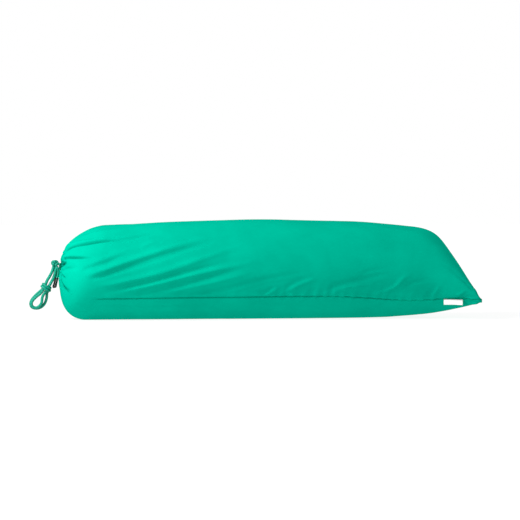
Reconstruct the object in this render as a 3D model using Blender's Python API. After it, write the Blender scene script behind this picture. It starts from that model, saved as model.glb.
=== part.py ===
"""A yoga bolster: a drawstring cover of green cotton over a firm round insert.

Metres. +X runs along the bolster to its flat-sewn end, -X to its gathered end, -Y is the side
with the long seam and the label, and +Z is up. The origin is on the floor under the middle.
"""

import math

import bmesh
import bpy
from mathutils import Vector

# ---------------------------------------------------------------- driving dimensions, in metres

LENGTH = 0.708  # from the gathered end to the ears of the flat-sewn end
CLOTH = 0.0022  # the cover's wall, thicker than the real cloth
LAYER_GAP = 0.0016  # between the cover and the insert
TOUCH_GAP = 0.0003  # between pieces that touch

# The barrel's outer sections along X: half width, bottom and top. A bottom below the floor is
# flattened on it, as the bolster's weight flattens it.
BARREL = (
    (-0.270, 0.0860, -0.0060, 0.1580),
    (-0.165, 0.0905, -0.0065, 0.1645),
    (0.000, 0.0920, -0.0065, 0.1680),
    (0.110, 0.0910, -0.0040, 0.1655),
    (0.190, 0.0890, 0.0010, 0.1610),
    (0.275, 0.0940, 0.0070, 0.1535),
)

# The gathered end is a dome. Its depth and its squareness differ from top to bottom.
LEFT_FACE = -LENGTH / 2
GATHER_HEIGHT = 0.093
DOME_DEPTH_TOP, DOME_DEPTH_BOTTOM = 0.085, 0.058
DOME_POWER_TOP, DOME_POWER_BOTTOM = 1.9, 3.5
DIMPLE_DEPTH = 0.0130
DIMPLE_FROM, DIMPLE_TO = 0.016, 0.034  # radii between which the gathered cloth sinks in
MOUTH_RADIUS = 0.0075

# The flat-sewn end: taut cloth from the insert's round edge to a straight seam.
WEDGE_START = 0.2565
SHOULDER = 0.0515
FULLNESS = 0.56  # how far the taut cloth bulges before it runs straight to the seam
NEAR_EAR = (LENGTH / 2, -0.120, 0.0315)
FAR_EAR = (0.340, 0.120, 0.096)
SEAM_DROOP = 0.004  # how far the middle of the end seam hangs under the line between the ears
EAR_DRAW = 4.4  # how strongly the cloth round an ear runs to the ear itself
SEAM_THICKNESS = 0.0030
SEAM_ALLOWANCE = 0.012

SEAM_ANGLE = -29.0  # the long seam, in degrees above the near side's middle
SEAM_TWIST = -11.5  # how much lower it lies where the flat-sewn end begins
TWIST_FROM = 0.09
GROOVE_WIDTH_ANGLE = 2.2
GROOVE_DEPTH = 0.0013
ANGLE_STEP = 12.0

CORD_DIAMETER = 0.0045
CHANNEL_RING = 0.0105  # radius of the hem's ring, at the cord's centre
CHANNEL_OUTER, CHANNEL_INNER = 0.0042, 0.0032
CHANNEL_GAP_ANGLE = 70.0  # the gap in the hem where the cord comes out
CORD_GAP_ANGLE = 46.0  # the cord still follows the ring a little past the hem's ends
CHANNEL_X = LEFT_FACE + DIMPLE_DEPTH - CHANNEL_OUTER - 0.0006
STITCH = 0.0004  # radius of a line of thread
STITCH_LIFT = 0.0002  # how far a line of thread stands clear of the cloth
HEM_STITCH_OUT = 0.0062  # the hem's stitch line lies this far outside the hem
END_STITCH_SHARE = 0.91  # how far along the flat-sewn end its stitch line lies
END_STITCH_FROM = 10.0  # degrees at which it starts from each ear
# The cord's two legs, from the knot to the gap in the hem.
LEG_DIRECTION = (0.90, 0.42, -0.05)
LEG_STEP = 0.0022
LEG_END = (-0.0045, 0.0030, -0.0085)  # from the middle of the hem's ring

KNOT_CENTRE = Vector((-0.3605, -0.0030, 0.0940))
KNOT_RADIUS = 0.0056
STRAND_START = KNOT_RADIUS + 0.0012  # the strands keep clear of the knot as it turns
STRAND_LEAD = 0.0020  # a strand runs straight out of the knot for this far
TIP_LENGTH = 0.0175
TIP_RADIUS = 0.0028

# Four strands run side by side from the knot to the second knot, two of each loop. This is
# the middle of the bundle.
STRANDS_Y = -0.0054
STRANDS = (
    (-0.3629, 0.0800),
    (-0.3655, 0.0714),
    (-0.3687, 0.0650),
    (-0.3720, 0.0592),
    (-0.3757, 0.0533),
)
STRAND_OFFSET = 0.0027
# The loops under the second knot.
FRONT_LOOP = (
    (-0.3845, 0.0452),
    (-0.3925, 0.0384),
    (-0.3989, 0.0317),
    (-0.4008, 0.0257),
    (-0.3983, 0.0209),
    (-0.3925, 0.0194),
    (-0.3866, 0.0228),
    (-0.3830, 0.0290),
    (-0.3814, 0.0390),
)
BACK_LOOP = (
    (-0.3855, 0.0470),
    (-0.3922, 0.0410),
    (-0.3987, 0.0335),
    (-0.4012, 0.0265),
    (-0.3987, 0.0208),
    (-0.3917, 0.0190),
    (-0.3842, 0.0210),
    (-0.3785, 0.0268),
    (-0.3755, 0.0350),
    (-0.3748, 0.0430),
)
# Where each strand leaves the knot: degrees round it from the left towards the near side,
# and degrees up from straight down.
FRONT_LEAVES = ((25.0, 75.0), (75.0, 75.0))
BACK_LEAVES = ((-25.0, 75.0), (-75.0, 75.0))
END_LEAVES = ((135.0, 40.0), (-135.0, 40.0))
FRONT_END = ((-0.3551, -0.0066, 0.0815), (-0.3558, -0.0072, 0.0760), (-0.3572, -0.0076, 0.0700))
BACK_END = ((-0.3551, 0.0004, 0.0815), (-0.3561, 0.0008, 0.0755), (-0.3580, 0.0012, 0.0690))
ROUTE_SPACING = 0.0040

LOOP_KNOT_RING = 0.0088
LOOP_KNOT_THICKNESS, LOOP_KNOT_LENGTH = 0.0021, 0.0046  # half sizes of its section

LABEL_X = 0.3125
LABEL_WIDTH, LABEL_DROP = 0.0335, 0.0088
LABEL_PLY = 0.00045
LABEL_FOLD_GAP = 0.0004
LABEL_STAND_OFF = 0.0032

INSERT_LEFT, INSERT_RIGHT = -0.3370, 0.2840
INSERT_DOME_RIGHT = 0.032
INSERT_RIGHT_MIDDLE = 0.084  # height of the middle of its right end
INSERT_TRIM = 0.012  # its left dome is this much shallower than the cover's
INSERT_CLOTH = 0.0012
CASE_SEAM = 0.81  # where the round ends meet the barrel, as a share of the radius
CASE_SEAM_RADIUS = 0.0008
CASE_SEAM_HALF_GAP = 0.02
WADDING = 0.012
FILLING_GAP = 0.0030  # between one filling layer and the next

GREEN = (0.0, 0.383, 0.235)
LABEL_WHITE = (0.80, 0.80, 0.77)
BLACK = (0.012, 0.012, 0.013)
CALICO = (0.72, 0.66, 0.54)
WADDING_WHITE = (0.86, 0.84, 0.78)
COTTON_GREY = (0.66, 0.63, 0.56)


# ---------------------------------------------------------------- small tools


def clear_scene():
    for thing in list(bpy.data.objects):
        bpy.data.objects.remove(thing)


def material(name, colour, roughness):
    made = bpy.data.materials.new(name)
    made.use_nodes = True
    shader = made.node_tree.nodes["Principled BSDF"]
    shader.inputs["Base Color"].default_value = (*colour, 1.0)
    shader.inputs["Roughness"].default_value = roughness
    shader.inputs["Metallic"].default_value = 0.0
    return made


def link(name, data, surface):
    made = bpy.data.objects.new(name, data)
    bpy.context.scene.collection.objects.link(made)
    data.materials.append(surface)
    return made


def curve_at(x, stations, column):
    """A smooth curve through one column of stations, at x, straight on past its ends."""
    xs = [s[0] for s in stations]
    ys = [s[column] for s in stations]
    last = len(xs) - 1
    slopes = [
        (ys[min(i + 1, last)] - ys[max(i - 1, 0)]) / (xs[min(i + 1, last)] - xs[max(i - 1, 0)])
        for i in range(last + 1)
    ]
    if x <= xs[0]:
        return ys[0] + (x - xs[0]) * slopes[0]
    if x >= xs[last]:
        return ys[last] + (x - xs[last]) * slopes[last]
    i = max(k for k in range(last) if xs[k] <= x)
    span = xs[i + 1] - xs[i]
    t = (x - xs[i]) / span
    return (
        (2 * t**3 - 3 * t**2 + 1) * ys[i]
        + (t**3 - 2 * t**2 + t) * span * slopes[i]
        + (3 * t**2 - 2 * t**3) * ys[i + 1]
        + (t**3 - t**2) * span * slopes[i + 1]
    )


def mix(a, b, t):
    return a + (b - a) * t


def ease(t):
    t = min(max(t, 0.0), 1.0)
    return t * t * (3 - 2 * t)


def smooth_route(points, spacing):
    """Points every spacing or so along a smooth curve through the route's own points."""
    route = [Vector(p) for p in points]
    fine = []
    for i in range(len(route) - 1):
        before = route[max(i - 1, 0)]
        start, end = route[i], route[i + 1]
        after = route[min(i + 2, len(route) - 1)]
        steps = max(1, round((end - start).length / spacing))
        for k in range(steps):
            t = k / steps
            fine.append(
                0.5
                * (
                    2 * start
                    + (end - before) * t
                    + (2 * before - 5 * start + 4 * end - after) * t**2
                    + (3 * start - before - 3 * end + after) * t**3
                )
            )
    return fine + [route[-1]]


def tube(name, points, radius, sides_resolution, surface, closed=False):
    """A round tube along points, as a poly curve with filled caps."""
    data = bpy.data.curves.new(name, "CURVE")
    data.dimensions = "3D"
    line = data.splines.new("POLY")
    line.points.add(len(points) - 1)
    for spot, place in zip(line.points, points):
        spot.co = (*place, 1.0)
    line.use_cyclic_u = closed
    line.use_smooth = True
    data.bevel_depth = radius
    data.bevel_resolution = sides_resolution
    data.use_fill_caps = not closed
    return link(name, data, surface)


def loft(name, rings, surface, start="hole", end="hole", loop=False):
    """One closed mesh through rings of equal length. An open end is capped by how the ring lies:
    'point' closes on a single point, and 'flat' closes a ring that lies doubled on a line."""
    mesh = bmesh.new()
    rows = [[mesh.verts.new(p) for p in ring] for ring in rings]
    count = len(rows[0])
    pairs = list(zip(rows[:-1], rows[1:]))
    if loop:
        pairs.append((rows[-1], rows[0]))
    for lower, upper in pairs:
        for k in range(count):
            n = (k + 1) % count
            mesh.faces.new((lower[k], lower[n], upper[n], upper[k]))
    for row, kind in ((rows[0], start), (rows[-1], end)):
        if kind == "point":
            middle = mesh.verts.new(sum((v.co for v in row), Vector()) / count)
            for k in range(count):
                mesh.faces.new((row[k], row[(k + 1) % count], middle))
        elif kind == "flat":
            half = count // 2
            mesh.faces.new((row[0], row[1], row[-1]))
            for k in range(1, half - 1):
                mesh.faces.new((row[k], row[k + 1], row[-k - 1], row[-k]))
            mesh.faces.new((row[half - 1], row[half], row[half + 1]))
    bmesh.ops.recalc_face_normals(mesh, faces=mesh.faces)
    data = bpy.data.meshes.new(name)
    mesh.to_mesh(data)
    mesh.free()
    data.shade_smooth()
    data.set_sharp_from_angle(angle=math.radians(40))
    return link(name, data, surface)


# ---------------------------------------------------------------- the bolster's form


def ring_angles():
    """Angles round a section, from the long seam, with the seam's groove between two of them."""
    steps = round(360 / ANGLE_STEP)
    even = [ANGLE_STEP * k for k in range(1, steps)]
    return [0.0, GROOVE_WIDTH_ANGLE] + even + [360.0 - GROOVE_WIDTH_ANGLE]


ANGLES = ring_angles()
INSERT_ANGLES = [ANGLE_STEP * 1.5 * k for k in range(round(240 / ANGLE_STEP))]


def section_point(x, turn, inset):
    """A point of the barrel's section at x. turn is in degrees from the long seam."""
    twist = SEAM_TWIST * ease((x - TWIST_FROM) / (WEDGE_START - TWIST_FROM))
    angle = math.radians(SEAM_ANGLE + twist + turn)
    half_width = curve_at(x, BARREL, 1) - inset
    bottom = curve_at(x, BARREL, 2) + inset
    top = curve_at(x, BARREL, 3) - inset
    height = mix(bottom, top, 0.5 + 0.5 * math.sin(angle))
    return Vector((x, -half_width * math.cos(angle), max(height, inset)))


def dome_depth(turn, share, left, trim):
    """How far behind the left face the dome lies at share of its radius."""
    up = 0.5 + 0.5 * math.sin(math.radians(SEAM_ANGLE + turn))
    depth = mix(DOME_DEPTH_BOTTOM, DOME_DEPTH_TOP, up) - trim
    power = mix(DOME_POWER_BOTTOM, DOME_POWER_TOP, up)
    return left + depth * (1 - (1 - min(share, 1.0) ** power) ** (1 / power))


def dome_point(turn, share, inset, left=LEFT_FACE, trim=0.0, dimple=True):
    """A point of the gathered end, from its middle, share 0, to the barrel, share 1."""
    rim = section_point(dome_depth(turn, 1.0, left, trim), turn, inset)
    middle = Vector((0.0, 0.0, GATHER_HEIGHT))
    place = mix(middle, rim, share)
    place.x = dome_depth(turn, share, left, trim) + inset
    if dimple:
        reach = Vector((place.y, place.z - GATHER_HEIGHT)).length
        place.x += DIMPLE_DEPTH * (1 - ease((reach - DIMPLE_FROM) / (DIMPLE_TO - DIMPLE_FROM)))
    return place


def end_seam_point(turn, inset, allowance):
    """Where the cloth at turn meets the end seam: one ply above it and one below."""
    share = turn / 180.0 if turn <= 180.0 else (360.0 - turn) / 180.0
    drawn = 0.5 * (2 * min(share, 1 - share)) ** EAR_DRAW
    along = drawn if share < 0.5 else 1 - drawn
    bow = 1 - (2 * along - 1) ** 2
    side = 0.0 if share in (0.0, 1.0) else (1.0 if turn < 180.0 else -1.0)
    trim = allowance / LENGTH * 3
    place = mix(Vector(NEAR_EAR), Vector(FAR_EAR), mix(trim, 1 - trim, along))
    place.x -= allowance
    place.z += side * (SEAM_THICKNESS / 2 - inset / 4) - SEAM_DROOP * bow
    return place


def wedge_point(turn, v, inset, allowance):
    """Taut cloth from the barrel, v 0, over the shoulder and straight to the end seam, v 1."""
    a = section_point(WEDGE_START, turn, inset)
    step = 0.002
    along = (section_point(WEDGE_START + step, turn, inset) - a) / step
    b = a + along * SHOULDER
    d = end_seam_point(turn, inset, allowance)
    c = mix(d, b, FULLNESS)
    return (
        a * (1 - v) ** 3 + b * 3 * v * (1 - v) ** 2 + c * 3 * v**2 * (1 - v) + d * v**3
    )


def groove(turn, fade=1.0):
    return GROOVE_DEPTH * fade if turn == 0.0 else 0.0


def mouth_share(turn):
    """The share of the dome's radius that is the mouth's own radius."""
    rim = section_point(dome_depth(turn, 1.0, LEFT_FACE, 0.0), turn, 0.0)
    return MOUTH_RADIUS / Vector((rim.y, rim.z - GATHER_HEIGHT)).length


DOME_SHARES = (0.09, 0.13, 0.17, 0.215, 0.27, 0.34, 0.43, 0.54, 0.66, 0.77, 0.86, 0.93, 0.975, 1.0)
BARREL_STEPS = 9
INSERT_BARREL_STEPS = 6
WEDGE_STEPS = 9


def cover_rings(inset, allowance, grooved):
    """Rings of the cover's cloth from the mouth to the end seam."""
    rings = []
    for k, share in enumerate(DOME_SHARES):
        ring = []
        for turn in ANGLES:
            near = mix(mouth_share(turn), share, 1.0 if k else 0.0)
            depth = groove(turn, ease((share - 0.2) / 0.3)) if grooved else 0.0
            ring.append(dome_point(turn, near, inset + depth))
        rings.append(ring)
    for k in range(1, BARREL_STEPS):
        ring = []
        for turn in ANGLES:
            start = dome_depth(turn, 1.0, LEFT_FACE, 0.0) + inset
            depth = groove(turn) if grooved else 0.0
            x = mix(start, WEDGE_START, k / BARREL_STEPS)
            ring.append(section_point(x, turn, inset + depth))
        rings.append(ring)
    for k in range(WEDGE_STEPS + 1):
        v = k / WEDGE_STEPS
        ring = []
        for turn in ANGLES:
            depth = groove(turn, 1 - v) if grooved else 0.0
            ring.append(wedge_point(turn, v, inset + depth, allowance))
        rings.append(ring)
    return rings


def insert_rings(inset, shares, left_end=True, right_end=True, barrel=True):
    """Rings of the insert: its left dome, its barrel and its rounded right end."""
    rings = []
    left = INSERT_LEFT - CLOTH - LAYER_GAP
    ends = INSERT_RIGHT - INSERT_DOME_RIGHT
    if left_end:
        for share in shares:
            rings.append([dome_point(t, share, inset, left, INSERT_TRIM, False) for t in INSERT_ANGLES])
    if barrel:
        for k in range(1, INSERT_BARREL_STEPS):
            ring = []
            for turn in INSERT_ANGLES:
                start = dome_depth(turn, 1.0, left, INSERT_TRIM) + inset
                ring.append(section_point(mix(start, ends, k / INSERT_BARREL_STEPS), turn, inset))
            rings.append(ring)
    if right_end:
        middle = Vector((0.0, 0.0, INSERT_RIGHT_MIDDLE))
        reach = INSERT_DOME_RIGHT - (inset - CLOTH - LAYER_GAP)
        for share in reversed(shares):
            ring = []
            for turn in INSERT_ANGLES:
                place = mix(middle, section_point(ends, turn, inset), share)
                place.x = ends + reach * (1 - share**2.5) ** (1 / 2.5)
                ring.append(place)
            rings.append(ring)
    return rings


# ---------------------------------------------------------------- the cover and its stitching


def make_cover(green):
    outer = cover_rings(0.0, 0.0, True)
    inner = cover_rings(CLOTH, SEAM_ALLOWANCE, False)
    loft("cover_panel", list(reversed(inner)) + outer, green, start="flat", end="flat")


def make_channel(green, thread):
    """The hem: a hollow fabric ring round the mouth, open where the cord comes out."""
    centre = Vector((CHANNEL_X, 0.0, GATHER_HEIGHT))
    sides, steps = 8, 20
    half_gap = math.radians(CHANNEL_GAP_ANGLE / 2)
    outer, inner = [], []
    for k in range(steps + 1):
        angle = mix(half_gap, 2 * math.pi - half_gap, k / steps)
        out = Vector((0.0, -math.sin(angle), -math.cos(angle)))
        for rings, radius in ((outer, CHANNEL_OUTER), (inner, CHANNEL_INNER)):
            ring = []
            for s in range(sides):
                turn = 2 * math.pi * s / sides
                side = out * math.cos(turn) + Vector((math.sin(turn), 0.0, 0.0))
                ring.append(centre + out * CHANNEL_RING + side * radius)
            rings.append(ring)
    loft("drawstring_channel", outer + list(reversed(inner)), green, loop=True)

    stitch_gap = TOUCH_GAP + STITCH + STITCH_LIFT
    reach = CHANNEL_RING + CHANNEL_OUTER + HEM_STITCH_OUT
    ring = []
    for k in range(24):
        turn = 15.0 * k
        rim = section_point(dome_depth(turn, 1.0, LEFT_FACE, 0.0), turn, 0.0)
        share = reach / Vector((rim.y, rim.z - GATHER_HEIGHT)).length
        ring.append(dome_point(turn, share, 0.0) - Vector((stitch_gap, 0.0, 0.0)))
    tube("channel_stitch_thread", ring, STITCH, 1, thread, closed=True)


def seam_stations():
    """The cover's rings that the long seam crosses, each as a function of turn and inset."""
    stations = []
    for share in DOME_SHARES[5:]:
        stations.append(lambda turn, inset, share=share: dome_point(turn, share, inset))
    start = dome_depth(0.0, 1.0, LEFT_FACE, 0.0)
    for k in range(1, BARREL_STEPS):
        x = mix(start, WEDGE_START, k / BARREL_STEPS)
        stations.append(lambda turn, inset, x=x: section_point(x, turn, inset))
    for k in range(WEDGE_STEPS):
        v = k / WEDGE_STEPS
        stations.append(lambda turn, inset, v=v: wedge_point(turn, v, inset * (1 - v), 0.0))
    return stations


def seam_line(depth, lift):
    """The long seam at depth in the cover, raised by lift along the cover's own outward side."""
    stations = seam_stations()
    points = []
    for k, station in enumerate(stations):
        before, after = stations[max(k - 1, 0)], stations[min(k + 1, len(stations) - 1)]
        run = after(0.0, 0.0) - before(0.0, 0.0)
        out = run.cross(station(6.0, 0.0) - station(354.0, 0.0)).normalized()
        points.append(station(0.0, depth) + out * lift)
    return points


def make_seams(thread):
    line = seam_line(GROOVE_DEPTH, STITCH + TOUCH_GAP * 2)
    tube("side_seam_thread", line[1:-1], STITCH, 1, thread)
    end_line = []
    for k in range(25):
        turn = mix(END_STITCH_FROM, 180.0 - END_STITCH_FROM, k / 24)
        upper = wedge_point(turn, END_STITCH_SHARE, CLOTH, SEAM_ALLOWANCE)
        lower = wedge_point(360.0 - turn, END_STITCH_SHARE, CLOTH, SEAM_ALLOWANCE)
        end_line.append(mix(upper, lower, 0.5))
    tube("end_seam_thread", end_line, STITCH, 1, thread)


# ---------------------------------------------------------------- the label


def label_hinge():
    """The middle of the label's top edge and the direction of the seam there."""
    route = smooth_route(seam_line(0.0, 0.0), 0.004)
    near = min(range(1, len(route) - 1), key=lambda i: abs(route[i].x - LABEL_X))
    along = (route[near + 1] - route[near - 1]).normalized()
    out = Vector((0.0, -1.0, 0.0))
    out = (out - along * out.dot(along)).normalized()
    return route[near] + out * (LABEL_STAND_OFF + LABEL_PLY + LABEL_FOLD_GAP), along


def make_label(white):
    """A ribbon folded in half, its two plies hanging from the seam."""
    hinge, along = label_hinge()
    down = Vector((0.0, 0.0, -1.0))
    down = (down - along * down.dot(along)).normalized()
    out = along.cross(down).normalized()
    half_gap = LABEL_FOLD_GAP / 2
    far = half_gap + LABEL_PLY
    outline = [(0.0, far), (0.0, half_gap)]
    outline += [(LABEL_DROP - far, half_gap), (LABEL_DROP - far + half_gap, 0.0)]
    outline += [(LABEL_DROP - far, -half_gap), (0.0, -half_gap), (0.0, -far)]
    outline += [(LABEL_DROP - far, -far), (LABEL_DROP - far * 0.3, -far * 0.7)]
    outline += [(LABEL_DROP, 0.0), (LABEL_DROP - far * 0.3, far * 0.7), (LABEL_DROP - far, far)]
    mesh = bmesh.new()
    rows = []
    for end in (-0.5, 0.5):
        origin = along * (LABEL_WIDTH * end)
        rows.append([mesh.verts.new(origin + down * d + out * o) for d, o in outline])
    count = len(outline)
    for k in range(count):
        n = (k + 1) % count
        mesh.faces.new((rows[0][k], rows[0][n], rows[1][n], rows[1][k]))
    mesh.faces.new(rows[0])
    mesh.faces.new(list(reversed(rows[1])))
    bmesh.ops.recalc_face_normals(mesh, faces=mesh.faces)
    data = bpy.data.meshes.new("woven_label")
    mesh.to_mesh(data)
    mesh.free()
    made = link("woven_label", data, white)
    made.location = hinge


# ---------------------------------------------------------------- the insert


def make_insert(calico, wadding, core):
    outer = CLOTH + LAYER_GAP
    inner = outer + INSERT_CLOTH
    edge = CASE_SEAM + CASE_SEAM_HALF_GAP
    barrel_shares = (edge, 0.88, 0.93, 0.975, 1.0)
    skin = insert_rings(outer, barrel_shares)
    lining = insert_rings(inner, barrel_shares)
    loft("inner_case_barrel", skin + list(reversed(lining)), calico, loop=True)

    disc_shares = (0.12, 0.30, 0.50, 0.68, CASE_SEAM - CASE_SEAM_HALF_GAP)
    for side, left in (("left", True), ("right", False)):
        face = insert_rings(outer, disc_shares, left, not left, False)
        back = insert_rings(inner, disc_shares, left, not left, False)
        rings = face + list(reversed(back)) if left else list(reversed(face)) + back
        loft("inner_case_end_" + side, rings, calico, start="point", end="point")
        middle = (outer + inner) / 2
        line = insert_rings(middle, (CASE_SEAM,), left, not left, False)[0]
        tube("inner_case_seam_" + side, line, CASE_SEAM_RADIUS, 1, calico, closed=True)

    wrap_out = inner + FILLING_GAP
    wrap_in = wrap_out + WADDING
    wrap_shares = (0.955, 0.985, 1.0)
    puff = insert_rings(wrap_out, wrap_shares)
    puff_back = insert_rings(wrap_in, wrap_shares)
    loft("filling_wrap", puff + list(reversed(puff_back)), wadding, loop=True)
    heart = insert_rings(wrap_in + FILLING_GAP, (0.2, 0.45, 0.7, 0.88) + wrap_shares)
    loft("filling_core", heart, core, start="point", end="point")


# ---------------------------------------------------------------- the drawstring and its bow


def make_drawstring(green):
    """The cord in the hem: from behind the knot, round the ring, and back to the knot."""
    centre = Vector((CHANNEL_X, 0.0, GATHER_HEIGHT))
    steps = 16
    half_gap = math.radians(CORD_GAP_ANGLE / 2)
    ring = []
    for k in range(steps + 1):
        angle = mix(half_gap, 2 * math.pi - half_gap, k / steps)
        ring.append(centre + Vector((0.0, -math.sin(angle), -math.cos(angle))) * CHANNEL_RING)
    legs = []
    for side in (-1.0, 1.0):
        out = Vector((LEG_DIRECTION[0], side * LEG_DIRECTION[1], LEG_DIRECTION[2])).normalized()
        leg = [KNOT_CENTRE + out * STRAND_START, KNOT_CENTRE + out * (STRAND_START + LEG_STEP)]
        leg.append(centre + Vector((LEG_END[0], side * LEG_END[1], LEG_END[2])))
        legs.append(leg)
    points = smooth_route(legs[0] + ring + list(reversed(legs[1])), ROUTE_SPACING)
    tube("drawstring_in_channel", points, CORD_DIAMETER / 2, 2, green)


def leaving(around, up):
    """The first two points of a strand that leaves the knot."""
    around, up = math.radians(around), math.radians(up)
    out = Vector((-math.cos(around) * math.sin(up), -math.sin(around) * math.sin(up), -math.cos(up)))
    return [KNOT_CENTRE + out * STRAND_START, KNOT_CENTRE + out * (STRAND_START + STRAND_LEAD)]


def strand(side, depth):
    """One of the four strands, from the knot to the second knot."""
    points = []
    for k, (x, z) in enumerate(STRANDS):
        before, after = STRANDS[max(k - 1, 0)], STRANDS[min(k + 1, len(STRANDS) - 1)]
        run = Vector((after[0] - before[0], 0.0, after[1] - before[1])).normalized()
        across = Vector((-run.z, 0.0, run.x))
        points.append(Vector((x, STRANDS_Y + depth, z)) + across * side)
    return points


def make_bow(green, black):
    bows = (
        ("bow_loop_front", FRONT_LOOP, -STRAND_OFFSET, FRONT_LEAVES),
        ("bow_loop_back", BACK_LOOP, STRAND_OFFSET, BACK_LEAVES),
    )
    for name, loop, depth, leaves in bows:
        route = leaving(*leaves[0]) + strand(-STRAND_OFFSET, depth)
        route += [Vector((x, STRANDS_Y + depth, z)) for x, z in loop]
        route += reversed(leaving(*leaves[1]) + strand(STRAND_OFFSET, depth))
        tube(name, smooth_route(route, ROUTE_SPACING), CORD_DIAMETER / 2, 2, green)
    for side, end, leaves in (("front", FRONT_END, END_LEAVES[0]), ("back", BACK_END, END_LEAVES[1])):
        route = leaving(*leaves) + [Vector(point) for point in end]
        points = smooth_route(route, ROUTE_SPACING)
        tube("cord_end_" + side, points, CORD_DIAMETER / 2, 2, green)
        run = (points[-1] - points[-2]).normalized()
        make_tip("cord_tip_" + side, points[-1] + run * TOUCH_GAP, run, black)


def make_tip(name, start, run, black):
    """A moulded tip: a plain barrel that narrows to a round end."""
    across = run.cross(Vector((0.0, 1.0, 0.0))).normalized()
    other = run.cross(across)
    profile = ((0.0, 0.86), (0.03, 1.0), (0.70, 1.0), (0.88, 0.84), (0.97, 0.52))
    rings = []
    for along, width in profile:
        ring = []
        for k in range(12):
            turn = 2 * math.pi * k / 12
            side = across * math.cos(turn) + other * math.sin(turn)
            ring.append(start + run * (TIP_LENGTH * along) + side * (TIP_RADIUS * width))
        rings.append(ring)
    loft(name, rings, black, start="point", end="point")


def make_loop_knot(green):
    """The second knot, a thick turn of cord round the four strands."""
    (x, z), (above_x, above_z) = STRANDS[-1], STRANDS[-2]
    centre = Vector((x, STRANDS_Y, z))
    axis = Vector((x - above_x, 0.0, z - above_z)).normalized()
    across = axis.cross(Vector((0.0, 1.0, 0.0))).normalized()
    other = axis.cross(across)
    rings = []
    for k in range(20):
        turn = 2 * math.pi * k / 20
        out = across * math.cos(turn) + other * math.sin(turn)
        ring = []
        for s in range(8):
            angle = 2 * math.pi * s / 8
            section = out * (LOOP_KNOT_THICKNESS * math.cos(angle))
            section += axis * (LOOP_KNOT_LENGTH * math.sin(angle))
            ring.append(centre + out * LOOP_KNOT_RING + section)
        rings.append(ring)
    loft("loop_knot", rings, green, loop=True)


def make_ball(name, centre, radius, surface, rows=7, sides=14):
    rings = []
    for k in range(1, rows):
        up = math.pi * k / rows
        ring = []
        for s in range(sides):
            turn = 2 * math.pi * s / sides
            side = Vector((math.cos(turn), math.sin(turn), 0.0)) * math.sin(up)
            ring.append((side + Vector((0.0, 0.0, math.cos(up)))) * radius)
        rings.append(ring)
    made = loft(name, rings, surface, start="point", end="point")
    made.location = centre


def main():
    clear_scene()
    cover_green = material("cover_green", GREEN, 0.75)
    cord_green = material("cord_green", GREEN, 0.55)
    thread_green = material("thread_green", GREEN, 0.6)
    label_white = material("label_white", LABEL_WHITE, 0.7)
    tip_black = material("tip_black", BLACK, 0.25)
    calico = material("calico", CALICO, 0.85)
    wadding = material("wadding", WADDING_WHITE, 0.95)
    core = material("core_cotton", COTTON_GREY, 0.95)

    make_cover(cover_green)
    make_channel(cover_green, thread_green)
    make_seams(thread_green)
    make_label(label_white)
    make_insert(calico, wadding, core)
    make_drawstring(cord_green)
    make_ball("gather_knot", KNOT_CENTRE, KNOT_RADIUS, cord_green)
    make_bow(cord_green, tip_black)
    make_loop_knot(cord_green)


main()
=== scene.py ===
"""The bolster pillow's looks: cover, gathered mouth, tied cord, label, light and camera."""

import math

import bpy
import numpy as np
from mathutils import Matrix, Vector


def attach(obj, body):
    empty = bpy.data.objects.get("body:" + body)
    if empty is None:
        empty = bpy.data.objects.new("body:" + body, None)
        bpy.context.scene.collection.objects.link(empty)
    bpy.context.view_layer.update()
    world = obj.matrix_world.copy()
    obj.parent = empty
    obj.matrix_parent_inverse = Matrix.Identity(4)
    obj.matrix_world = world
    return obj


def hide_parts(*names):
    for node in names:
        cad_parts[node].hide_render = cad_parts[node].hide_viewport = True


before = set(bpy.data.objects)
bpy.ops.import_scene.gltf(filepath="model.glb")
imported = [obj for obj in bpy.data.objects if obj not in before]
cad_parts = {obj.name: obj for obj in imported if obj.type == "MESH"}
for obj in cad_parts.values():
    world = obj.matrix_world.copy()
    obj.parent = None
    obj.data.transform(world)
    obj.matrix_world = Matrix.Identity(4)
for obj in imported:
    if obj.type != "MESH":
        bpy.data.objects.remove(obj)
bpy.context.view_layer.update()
scene = bpy.context.scene

# ---- sizes, as in the CAD part

LENGTH = 0.708
BARREL = (
    (-0.27, 0.086, -0.006, 0.158),
    (-0.165, 0.0905, -0.0065, 0.1645),
    (0.0, 0.092, -0.0065, 0.168),
    (0.11, 0.091, -0.004, 0.1655),
    (0.19, 0.089, 0.001, 0.161),
    (0.275, 0.094, 0.007, 0.1535),
)
LEFT_FACE = -LENGTH / 2
GATHER_HEIGHT = 0.093
DOME_DEPTH_TOP, DOME_DEPTH_BOTTOM = 0.085, 0.058
DOME_POWER_TOP, DOME_POWER_BOTTOM = 1.9, 3.5
DIMPLE_DEPTH = 0.013
DIMPLE_FROM, DIMPLE_TO = 0.016, 0.034
MOUTH_RADIUS = 0.0075
WEDGE_START = 0.2565
SHOULDER = 0.0515
FULLNESS = 0.56
NEAR_EAR = (LENGTH / 2, -0.12, 0.0315)
FAR_EAR = (0.34, 0.12, 0.096)
SEAM_DROOP = 0.004
EAR_DRAW = 4.4
SEAM_THICKNESS = 0.003
EAR_THICKNESS = 0.0026  # the turned cloth thickens the near corner
SEAM_ANGLE = -29.0
SEAM_TWIST = -11.5
TWIST_FROM = 0.09

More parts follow.
